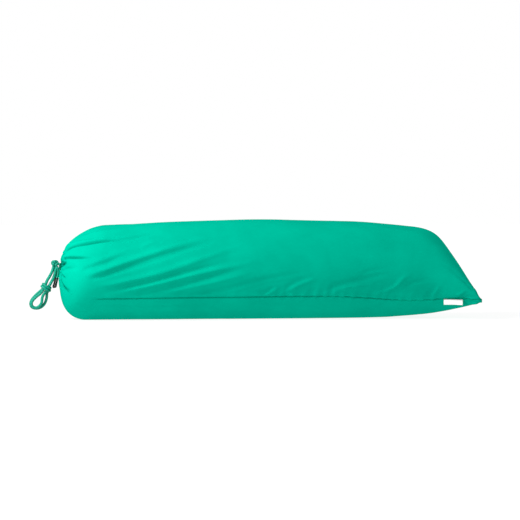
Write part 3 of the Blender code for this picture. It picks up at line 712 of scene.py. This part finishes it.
# Folds on the near side, as routes of (x, height) in millimetres that run from the gathered
# end to the right. Each has a height, below zero for a valley, and a half width, also in
# millimetres, and the shares of its length over which it rises and fades.
NEAR_FOLDS = (
    # creases that run from the gathers
    (((-348, 118), (-335, 124), (-307, 129.5), (-270, 134), (-245, 136)), -5.2, 2.3, 0.1, 0.45),
    (((-348, 122), (-335, 128), (-307, 133.5), (-270, 138)), 2, 3.4, 0.15, 0.5),
    (((-262, 136), (-226, 143), (-195, 149)), 1.1, 3.4, 0.25, 0.5),
    (((-262, 132), (-226, 139), (-195, 145)), -1, 3.4, 0.25, 0.5),
    (((-349, 103), (-335, 106), (-320, 107), (-298, 105)), -4.4, 1.9, 0.1, 0.5),
    (((-349, 107), (-335, 110), (-318, 111)), 1.3, 2.8, 0.2, 0.6),
    (((-341, 111), (-330, 117), (-318, 121)), 1.2, 2.8, 0.2, 0.5),
    (((-352, 87), (-344, 91.5), (-330, 93)), 1.8, 3.6, 0.2, 0.5),
    (((-352, 83), (-338, 88), (-318, 89)), -1.6, 3.4, 0.1, 0.5),
    (((-352, 62), (-346, 54), (-336, 48)), -1, 2.8, 0.2, 0.5),
    # long soft folds that climb to the right, each a ridge with a valley under it
    (((-322, 82.8), (-303, 90.8), (-275, 98.8), (-248, 111.8)), -1.4, 4, 0.2, 0.4),
    (((-313, 88.8), (-283, 102.8), (-247, 116.8), (-222, 123.8)), 1, 5, 0.2, 0.4),
    (((-224, 119.8), (-207, 127.8), (-188, 134.8)), 0.9, 3.4, 0.3, 0.5),
    (((-320, 74.8), (-290, 82.8), (-245, 97.8), (-190, 116.8), (-125, 134.8), (-75, 144.8)),
     2.8, 5.2, 0.15, 0.5),
    (((-308, 69.8), (-278, 79.8), (-234, 91.8), (-189, 106.8), (-136, 121.8), (-80, 135.8)),
     -3.6, 4.4, 0.15, 0.5),
    (((-305, 56.8), (-262, 63.8), (-195, 78.8), (-122, 102.8), (-60, 121.8), (-30, 127.8)),
     2.4, 5.4, 0.2, 0.45),
    (((-280, 50.8), (-240, 57.8), (-196, 68.8), (-151, 78.8), (-66, 100.8)), -3, 4, 0.15, 0.45),
    (((-262, 46.8), (-218, 55.8), (-151, 72.8), (-95, 85.8), (-15, 100.8)), 2.2, 4.4, 0.15, 0.45),
    (((-240, 44.8), (-206, 49.8), (-151, 62.8), (-94, 76.8), (-40, 86.8)), -2.8, 4, 0.2, 0.45),
    (((-185, 43.8), (-150, 52.8), (-95, 63.8), (-30, 79.8)), 1.8, 4.2, 0.2, 0.45),
    (((-145, 42.8), (-105, 48.8), (-52, 58.8), (1, 70.8), (75, 83.8)), -2.7, 4.4, 0.2, 0.5),
    (((-60, 47.8), (-20, 58.8), (15, 64.8), (70, 71.8)), -1.2, 4.2, 0.3, 0.5),
    (((-285, 43.3), (-240, 46.3), (-190, 49.8)), 0.7, 3.4, 0.3, 0.5),
    # slack above the long seam, towards the right
    (((-8, 41), (-1, 47.2), (16, 55.2)), 1.5, 3, 0.1, 0.6),
    (((-14, 41), (-8, 48.2), (8, 58.2)), -1.2, 3.2, 0.1, 0.6),
    (((22, 46.2), (50, 60.2), (78, 70.2)), 1.7, 3.6, 0.2, 0.5),
    (((18, 52.2), (45, 65.2), (78, 76.2)), -0.9, 4, 0.3, 0.5),
    (((90, 48.2), (113, 60.2), (150, 66.2), (190, 76.2), (215, 82.2)), -2.2, 4.2, 0.2, 0.5),
    (((100, 43.2), (125, 52.2), (160, 57.2), (185, 63.2)), 1.3, 3.6, 0.3, 0.5),
    (((150, 76.2), (175, 83.2), (205, 86.2)), -0.9, 3.4, 0.3, 0.5),
    (((170, 42), (192, 46.2), (212, 54.2), (226, 69.2), (242, 77.2)), 2.1, 3.4, 0.2, 0.4),
    (((200, 42), (223, 50.2), (232, 58.2), (252, 64.2), (282, 66.2)), -2.7, 3.6, 0.15, 0.45),
    (((276, 37), (283, 46.2), (290, 60.2)), 1, 3.6, 0.15, 0.5),
    (((268, 38), (274, 46.2), (282, 58.2)), -1, 3.6, 0.15, 0.5),
    (((316, 38), (325, 46.2), (338, 55.2)), 1.3, 2.4, 0.15, 0.4),
    (((338, 34.5), (318, 36), (300, 40)), -0.5, 4, 0.2, 0.5),
    # slack in the strip under the long seam
    (((-300, 29), (-200, 27), (-80, 28.5)), 0.6, 3.4, 0.3, 0.4),
    (((-290, 23), (-180, 21.5), (-60, 23)), -0.6, 3.4, 0.3, 0.4),
    (((-240, 16), (-120, 15), (20, 18)), 0.6, 3.6, 0.3, 0.4),
    (((-20, 27), (60, 24), (150, 26)), -0.6, 3.4, 0.3, 0.4),
    (((120, 17), (190, 19), (250, 24)), 0.7, 3.6, 0.3, 0.4),
)
# Creases on the gathered end, as routes of (y, height).
END_FOLDS = (
    (((-22, 88), (-28, 81), (-36, 76), (-46, 73), (-58, 71.5)), -4.8, 1.8, 0.05, 0.5),
    (((-30, 79), (-32, 70), (-35, 61)), -2.6, 1.7, 0.1, 0.6),
    (((-20, 94.5), (-36, 95.5), (-50, 98.5)), -6, 2.8, 0.05, 0.45),
)
# Folds elsewhere, as routes of (x, degrees up from the near side's middle). The last number is
# the depth of the valley just under the fold, in millimetres.
ROUND_FOLDS = (
    (((-325, 62), (-270, 66), (-190, 74), (-120, 82)), 1.4, 8, 0.2, 0.5, 1.8),
    (((-318, 92), (-250, 100), (-160, 114), (-60, 126)), 1.8, 8.5, 0.2, 0.5, 2.4),
    (((-335, 118), (-290, 122), (-240, 128)), 1, 5.5, 0.2, 0.5, 2.6),
    (((-320, 140), (-250, 149), (-150, 163), (-50, 176)), 2, 8.5, 0.2, 0.5, 2.6),
    (((-330, 163), (-260, 171), (-180, 182), (-80, 196)), 1.6, 8, 0.2, 0.5, 2.2),
    (((-335, 187), (-280, 192), (-200, 202), (-120, 211)), 1.4, 7, 0.2, 0.5, 2),
    (((-325, 212), (-260, 216), (-190, 222)), 1.2, 7, 0.2, 0.5, 1.4),
    (((40, 168), (100, 178), (170, 184)), 1.1, 7.5, 0.2, 0.5, 1.4),
    (((150, 150), (200, 160), (250, 165)), 1, 6.5, 0.2, 0.5, 1.2),
    (((170, 196), (220, 202), (262, 203)), 1, 6, 0.2, 0.5, 1.2),
    (((60, 108), (130, 104), (210, 97)), 0.9, 9, 0.2, 0.5, 0.8),
    (((200, 70), (245, 74), (285, 72)), 0.8, 8, 0.2, 0.5, 0.8),
    (((-330, -45), (-290, -48), (-250, -50)), 0.8, 6, 0.2, 0.5, 1),
)


def route_on_cover(grid, turns, route, side):
    """Points close together on the cover, along a smooth curve through a fold's route."""
    found = []
    x, y, z = grid[..., 0], grid[..., 1], grid[..., 2]
    for along, where in route:
        if side == "end":
            miss = (y - along * MM) ** 2 + (z - where * MM) ** 2
            miss = np.where(x > -0.28, 9.0, miss)
        elif side == "near":
            miss = (x - along * MM) ** 2 + (z - where * MM) ** 2
            miss = np.where(y > 0.0, 9.0, miss)
        else:
            apart = (SEAM_ANGLE + turns[None, :] - where + 180.0) % 360.0 - 180.0
            miss = (x - along * MM) ** 2 + (np.radians(apart) * MEAN_RADIUS) ** 2
        found.append(Vector(grid[np.unravel_index(np.argmin(miss), miss.shape)]))
    return smooth_route(found, 0.004)


def fold_height(grid, normals, line, height, width, rise, fall, drop=0.0):
    """A fold along line, fading at its ends, with a valley drop deep just under it.

    height, width and drop are in millimetres.
    """
    height, width, drop = height * MM, width * MM, drop * MM
    line = np.array([tuple(p) for p in line])
    count = len(line)
    low, high = line.min(0) - 0.05, line.max(0) + 0.05
    inside = np.all((grid >= low) & (grid <= high), axis=-1)
    points, outward = grid[inside], normals[inside]
    best = np.full(len(points), 1e9)
    signed = np.zeros(len(points))
    share = np.zeros(len(points))
    for i in range(count - 1):
        a, run = line[i], line[i + 1] - line[i]
        size = max(float(run @ run), 1e-12)
        t = np.clip((points - a) @ run / size, 0.0, 1.0)
        off = points - (a + t[:, None] * run)
        apart = np.linalg.norm(off, axis=1)
        nearer = apart < best
        side = np.sign(np.einsum("ij,ij->i", np.cross(outward, run), off))
        best = np.where(nearer, apart, best)
        signed = np.where(nearer, side * apart, signed)
        share = np.where(nearer, (i + t) / (count - 1), share)
    fade = ease(share / rise) * ease((1 - share) / fall)
    ridge = height * np.exp(-((signed / width) ** 2))
    valley = drop * np.exp(-(((signed - 1.25 * width) / (0.75 * width)) ** 2))
    result = np.zeros(grid.shape[:2])
    result[inside] = (ridge - valley) * fade
    return result


def gathers(grid):
    """Pleats that run into the mouth, deep beside it and fading over the dome."""
    reach = from_mouth(grid)
    around = np.arctan2(grid[..., 1], grid[..., 2] - GATHER_HEIGHT)
    uneven = around + 0.13 * np.sin(2 * around + 1.0) + 0.07 * np.sin(5 * around + 2.0)
    lobes = np.abs(np.sin(PLEATS * uneven)) ** 0.7 - 0.62
    small = np.abs(np.sin(SMALL_GATHERS * uneven + 0.8)) ** 0.8 - 0.6
    long_ones = 0.65 + 0.35 * np.sin(3 * around + 0.7) * np.sin(7 * around)
    end = grid[..., 0] < -0.22
    deep = ease((reach - 0.005) / 0.01) * (1 - ease((reach - 0.018) / (0.052 * long_ones)))
    fine = ease((reach - 0.006) / 0.006) * (1 - ease((reach - 0.014) / 0.022))
    return np.where(end, PLEAT_HEIGHT * deep * lobes + GATHER_DEPTH * fine * small, 0.0)


def long_seam(grid, turns):
    """The long seam: a narrow groove that the upper cloth bulges over, with small puckers."""
    arc = np.radians((turns + 180.0) % 360.0 - 180.0)[None, :] * MEAN_RADIUS
    x = grid[..., 0]
    shown = ease((x + 0.32) / 0.06) * (1 - ease((x - 0.335) / 0.02))
    groove = -GROOVE_DEPTH * np.exp(-((arc / 0.0011) ** 2))
    above = 0.001 * np.exp(-(((arc - 0.0042) / 0.0036) ** 2))
    below = 0.0004 * np.exp(-(((arc + 0.0036) / 0.003) ** 2))
    phase = x * 2 * math.pi / PUCKER_PITCH + 1.4 * np.sin(x * 61.0) + 0.8 * np.sin(x * 23.0 + 1.0)
    lean = phase - arc * 90.0
    reach = np.where(arc > 0, np.exp(-((arc / 0.017) ** 2)), np.exp(-((arc / 0.006) ** 2)))
    strong = ease((x + 0.03) / 0.06) * (1 - ease((x - 0.3) / 0.04)) * 0.8 + 0.2
    pucker = PUCKER_HEIGHT * np.maximum(np.sin(lean), -0.3) * reach * strong
    return (groove + above + below + pucker) * shown


def wedge_share(grid):
    """0 up to the shoulder, rising to 1 at the end seam, one value for each row."""
    stations = np.arange(grid.shape[0]) - DOME_STATIONS - BARREL_STATIONS
    return np.clip(stations / WEDGE_STATIONS, 0.0, 1.0)[:, None]


def end_puckers(grid):
    """Short tucks in the cloth along the end seam."""
    v = wedge_share(grid)
    y = grid[..., 1]
    phase = y * 2 * math.pi / TUCK_PITCH + 1.1 * np.sin(y * 70.0)
    rise = ease((v - 0.8) / 0.14) * (1 - ease((v - 0.97) / 0.03))
    return TUCK_HEIGHT * np.sin(phase) * rise


def end_shade(grid):
    """How deep in shade the cloth is beside the mouth, along the end seam and in its corner."""
    seam = ease((wedge_share(grid) - 0.955) / 0.045) * np.ones(grid.shape[1])
    reach = from_mouth(grid)
    mouth = np.where(grid[..., 0] < -0.3, 1 - ease((reach - 0.01) / 0.012), 0.0)
    far = np.linalg.norm(grid - np.array(NEAR_EAR), axis=-1)
    ear = 0.6 * np.exp(-((far / 0.01) ** 2)) + 0.36 * np.exp(-((far / 0.06) ** 2))
    return np.max([0.7 * seam, mouth, recess(grid), ear], axis=0)


def recess(points):
    """The pocket between two gathers that runs across the mouth, beside the knot."""
    y, z = points[..., 1], points[..., 2]
    pocket = np.exp(-(((y - POCKET_Y) / POCKET_LONG) ** 2) - ((z - POCKET_Z) / POCKET_HIGH) ** 2)
    return np.where(points[..., 0] < -0.33, np.minimum(1.0, 1.5 * pocket), 0.0)


def swell(grid):
    """Wide, very low unevenness of the filling."""
    x, y, z = grid[..., 0], grid[..., 1], grid[..., 2]
    wave = np.sin(x * 19.0 + y * 13.0 + 0.6) * np.sin(z * 27.0 - x * 7.0 + 1.3)
    wave += 0.6 * np.sin(x * 41.0 - y * 22.0 + 2.0) * np.sin(z * 38.0 + 0.4)
    return SWELL_HEIGHT * wave


COARSE = 4  # the simulated cloth has one point for this many of the cover's, each way
CLOTH_PRESSURE, CLOTH_FRAMES = 4.0, 18  # how hard the filling pushes, and for how long
SWELL_OUT, SWELL_IN = 0.003, -0.0015  # the cloth may move no further than this


def stuffed(grid, normals, cloth):
    """How far the filling pushes the cloth out, from a simulation of a coarse copy of it."""
    rows = np.unique(np.append(np.arange(0, grid.shape[0], COARSE), grid.shape[0] - 1))
    columns = np.arange(0, grid.shape[1], COARSE)
    before = grid[rows][:, columns]
    high, round_it = before.shape[:2]
    faces = [(a, d, c, b) for a, b, c, d in ring_faces(high, round_it)]
    bag = mesh_object("stuffed_cloth", before.reshape(-1, 3), faces, cloth)
    held = bag.vertex_groups.new(name="held")
    pinned = [*range(2 * round_it), *range((high - 2) * round_it, high * round_it)]
    held.add(pinned, 1.0, "REPLACE")
    sim = bag.modifiers.new("cloth", "CLOTH")
    settings = sim.settings
    settings.quality, settings.mass = 6, 0.2
    settings.tension_stiffness = settings.compression_stiffness = 12.0
    settings.bending_stiffness = 0.4
    settings.vertex_group_mass = held.name
    settings.use_pressure = True
    settings.uniform_pressure_force = CLOTH_PRESSURE
    settings.effector_weights.gravity = 0.0
    sim.point_cache.frame_start, sim.point_cache.frame_end = 1, CLOTH_FRAMES
    for k in range(1, CLOTH_FRAMES + 1):
        scene.frame_set(k)
    result = bag.evaluated_get(bpy.context.evaluated_depsgraph_get()).data
    after = np.empty(before.size, np.float32)
    result.vertices.foreach_get("co", after)
    moved = after.reshape(before.shape) - before
    bpy.data.objects.remove(bag)
    scene.frame_set(1)
    out = np.einsum("ijk,ijk->ij", moved, normals[rows][:, columns])
    out = np.where(np.isfinite(out), out - np.median(out[3:-3]), 0.0)
    out = np.clip(out, SWELL_IN, SWELL_OUT)
    every_row = np.arange(grid.shape[0])
    tall = np.array([np.interp(every_row, rows, column) for column in out.T]).T
    places = np.append(columns, grid.shape[1])
    wide = np.concatenate([tall, tall[:, :1]], axis=1)
    return np.array([np.interp(np.arange(grid.shape[1]), places, row) for row in wide])


def beside_label(grid):
    """1 over most of the cover, falling to 0 beside the label, which holds the cloth flat."""
    off = grid - np.array(LABEL_HINGE)
    along = np.clip(off @ np.array(LABEL_ALONG), -0.5 * LABEL_WIDTH, 0.5 * LABEL_WIDTH)
    apart = np.linalg.norm(off - along[..., None] * np.array(LABEL_ALONG), axis=-1)
    return ease((apart - 0.008) / 0.012)


def make_cover(cloth):
    grid, turns = cover_grid()
    normals = grid_normals(grid)
    lift = gathers(grid) + swell(grid) * ease((grid[..., 0] + 0.36) / 0.05)
    lift += stuffed(grid, normals, cloth) - POCKET_DEPTH * recess(grid)
    painted_shade = np.zeros(grid.shape[:2])
    for folds, side in ((NEAR_FOLDS, "near"), (END_FOLDS, "end"), (ROUND_FOLDS, "round")):
        for route, *form in folds:
            line = route_on_cover(grid, turns, route, side)
            raised = fold_height(grid, normals, line, *form)
            lift += raised
            height, width = form[:2]
            # painted shade at the bottom of each valley: full for sharp creases, SOFT_SHADE for
            # soft valleys
            if height < 0.0:
                dark = 1.0 if width < SHARP else SOFT_SHADE * min(1.0, -height / SOFT_DEEP)
                painted_shade = np.maximum(painted_shade, raised / (height * MM) * dark)
    deepest = DEEPEST + DEEPER * ease((-0.285 - grid[..., 0]) / 0.045)
    lift = np.where(lift < 0.0, -deepest * np.tanh(-lift / deepest), lift)
    rows, columns = grid.shape[:2]
    quiet = 1 - ease((np.arange(rows) - rows + 5) / 4.0)  # no lift at the end seam
    ear = np.linalg.norm(grid - np.array(NEAR_EAR), axis=-1)
    lift = (lift + EAR_PUFF * np.exp(-((ear / 0.009) ** 2))) * quiet[:, None]
    calm = beside_label(grid)
    lift = np.where(lift > 0.0, lift * calm, lift)
    shaped = grid + normals * lift[..., None]
    normals = grid_normals(shaped)
    detail = long_seam(grid, turns) + end_puckers(grid)
    detail = np.where(detail > 0.0, detail * calm, detail)
    shaped = shaped + normals * detail[..., None]
    shaped[..., 2] = np.maximum(shaped[..., 2], 0.0)

    # the cloth turns in at the mouth
    mouth = shaped[0]
    middle = mouth.mean(0)
    rolled = []
    for inward, deeper in ((0.1, 0.0012), (0.13, 0.0035), (0.1, 0.008), (0.05, 0.013)):
        ring = mix(mouth, middle, inward)
        ring[:, 0] = mouth[:, 0] + deeper
        rolled.append(ring)
    shaped = np.concatenate([np.array(rolled[::-1]), shaped])
    rows = shaped.shape[0]
    faces = [(a, d, c, b) for a, b, c, d in ring_faces(rows, columns)]
    last = (rows - 1) * columns
    half = columns // 2
    for k in range(1, half - 1):
        faces.append((last + k, last + columns - k, last + columns - k - 1, last + k + 1))
    faces.append((last, last + columns - 1, last + 1))
    faces.append((last + half, last + half - 1, last + half + 1))
    cover = mesh_object("cotton_cover", shaped.reshape(-1, 3), faces, cloth)
    # painted shade beside the mouth, along the end seam, in the pocket and in the near corner;
    # the cloth turned in at the mouth gets full painted shade
    painted_shade = np.maximum(painted_shade, end_shade(grid))
    painted_shade = np.concatenate([np.repeat(painted_shade[:1], len(rolled), axis=0) + 1.0, painted_shade])
    paint_shade(cover, np.clip(painted_shade, 0.0, 1.0))
    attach(cover, "bolster")
    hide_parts("cover_panel")


# ---- everything else

COTTON_GREEN = (0.0, 0.4, 0.262)
CORD_GREEN = (0.0, 0.32, 0.205)
THREAD_GREEN = (0.0, 0.3, 0.19)


HEM_HALF_GAP = 33.0  # degrees, where the cord comes out of the hem


def make_hem(cloth):
    """The gathered hem round the mouth, puffed between its tucks."""
    centre = Vector((CHANNEL_X, 0.0, GATHER_HEIGHT))
    steps, sides = 170, 18
    half_gap = math.radians(HEM_HALF_GAP)
    verts = []
    for k in range(steps + 1):
        t = k / steps
        angle = mix(half_gap, 2 * math.pi - half_gap, t)
        out = Vector((0.0, -math.sin(angle), -math.cos(angle)))
        tuck = abs(math.sin(angle * 8.5 + 0.5 * math.sin(angle * 3.0))) ** 0.7
        wide = CHANNEL_OUTER * (0.74 + 0.3 * tuck)
        for s in range(sides):
            turn = 2 * math.pi * s / sides
            flute = 1.0 + 0.05 * math.sin(3 * turn + angle * 17.0)
            side = out * math.cos(turn) + Vector((math.sin(turn), 0.0, 0.0))
            verts.append(centre + out * CHANNEL_RING + side * (wide * flute))
    hem = mesh_object("gathered_hem", verts, ring_faces(steps + 1, sides), cloth)
    # painted shade over the whole hem, deepest in the pocket beside the knot
    paint_shade(hem, 0.25 + 1.1 * recess(np.array([tuple(v) for v in verts])))
    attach(hem, "bolster")
    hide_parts("drawstring_channel")


PLY_POINTS, FOLD_POINTS = 15, 7
FOLD_DEPTH = 0.0008  # the height of the round fold at the label's bottom


def make_label(white):
    """The folded ribbon: two plies that part a little, with a round fold at the bottom."""
    down = Vector((0.0, 0.0, -1.0))
    down = (down - LABEL_ALONG * down.dot(LABEL_ALONG)).normalized()
    out = LABEL_ALONG.cross(down).normalized()
    if out.y > 0.0:
        out = -out
    profile = []
    straight = LABEL_DROP - FOLD_DEPTH
    for k in range(PLY_POINTS):
        t = k / (PLY_POINTS - 1)
        profile.append((t * straight, LABEL_PLY * (0.7 + 0.5 * math.sin(math.pi * t * 0.8))))
    for k in range(1, FOLD_POINTS + 1):
        turn = math.pi * k / (FOLD_POINTS + 1)
        profile.append((straight + FOLD_DEPTH * math.sin(turn), LABEL_PLY * math.cos(turn)))
    profile += [(fall, -apart) for fall, apart in reversed(profile[:PLY_POINTS])]
    columns = 49
    outer, inner = [], []
    for k in range(columns):
        t = k / (columns - 1)
        wave = 0.00028 * math.sin(2 * math.pi * (1.3 * t + 0.15))
        droop = 0.0002 * math.sin(2 * math.pi * (0.8 * t + 0.4))
        for i, (fall, apart) in enumerate(profile):
            depth = fall / LABEL_DROP
            place = LABEL_HINGE + LABEL_ALONG * ((t - 0.5) * LABEL_WIDTH)
            place += down * (fall + droop * depth) + out * (apart + wave * depth)
            outer.append(place)
            inside = out * (apart * 0.45 - apart)
            if PLY_POINTS <= i < PLY_POINTS + FOLD_POINTS:
                inside -= down * 0.00035
            inner.append(place + inside)
    count = len(profile)
    verts = outer + inner
    half = len(outer)
    faces = []
    for k in range(columns - 1):
        for i in range(count - 1):
            a, b = k * count + i, (k + 1) * count + i
            faces.append((a, a + 1, b + 1, b))
            faces.append((half + b, half + b + 1, half + a + 1, half + a))
    for k in (0, columns - 1):
        for i in range(count - 1):
            a = k * count + i
            face = (a, half + a, half + a + 1, a + 1)
            faces.append(face if k == 0 else face[::-1])
    for i in (0, count - 1):
        for k in range(columns - 1):
            a, b = k * count + i, (k + 1) * count + i
            face = (a, b, half + b, half + a)
            faces.append(face if i == 0 else face[::-1])
    label = mesh_object("folded_label", verts, faces, white)
    fall = np.array([point[0] for point in profile])
    dark = 1.4 * (1 - ease((fall - 0.001) / 0.001))  # the seam shades it
    paint_shade(label, np.tile(dark, columns * 2))
    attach(label, "label")
    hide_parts("woven_label")


def dress_cad(surface, *names):
    """Gives pieces that keep their CAD shapes a real surface."""
    for name in names:
        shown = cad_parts[name]
        shown.data.materials.clear()
        shown.data.materials.append(surface)


scene.view_settings.view_transform = "Standard"
scene.view_settings.look = "None"
make_camera()
make_world()
make_stage()
make_area("key", (-1.02, -0.46, 1.08), (0.0, 0.0, 0.08), (0.4, 0.4), 20.5)
make_area("left", (-1.25, -0.95, 0.2), (-0.2, 0.0, 0.08), (0.5, 0.4), 8.0)
make_area("fill", (2.3, 0.4, 1.2), (0.1, 0.0, 0.08), (1.2, 1.2), 20.0)

cord_surface = braid("braided_cord", CORD_GREEN)
tip_surface = speckled("moulded_black", (0.012, 0.012, 0.013), 0.18, 900.0, 0.3, 0.02)
make_bow(cord_surface, tip_surface)

cover_surface = cotton("green_cotton", COTTON_GREEN)
make_cover(cover_surface)
make_hem(cover_surface)

thread_surface = cotton("green_thread", THREAD_GREEN, 0.8, 0.0, 3000.0, 0.1, 0.1)
label_surface = cotton("woven_white", (0.93, 0.93, 0.92), 0.6, 0.0, 3000.0, 0.02, 0.1)
calico_surface = cotton("calico", (0.72, 0.66, 0.54), 0.85, 0.1, 1800.0, 0.08, 0.15)
wadding_surface = speckled("wadding", (0.86, 0.84, 0.78), 0.95, 260.0, 0.08, 0.6, 0.003)
core_surface = speckled("core_cotton", (0.66, 0.63, 0.56), 0.95, 120.0, 0.15, 0.8, 0.004)
make_label(label_surface)
dress_cad(thread_surface, "channel_stitch_thread", "side_seam_thread", "end_seam_thread")
dress_cad(cord_surface, "drawstring_in_channel")
dress_cad(calico_surface, "inner_case_barrel", "inner_case_end_left", "inner_case_end_right")
dress_cad(calico_surface, "inner_case_seam_left", "inner_case_seam_right")
dress_cad(wadding_surface, "filling_wrap")
dress_cad(core_surface, "filling_core")
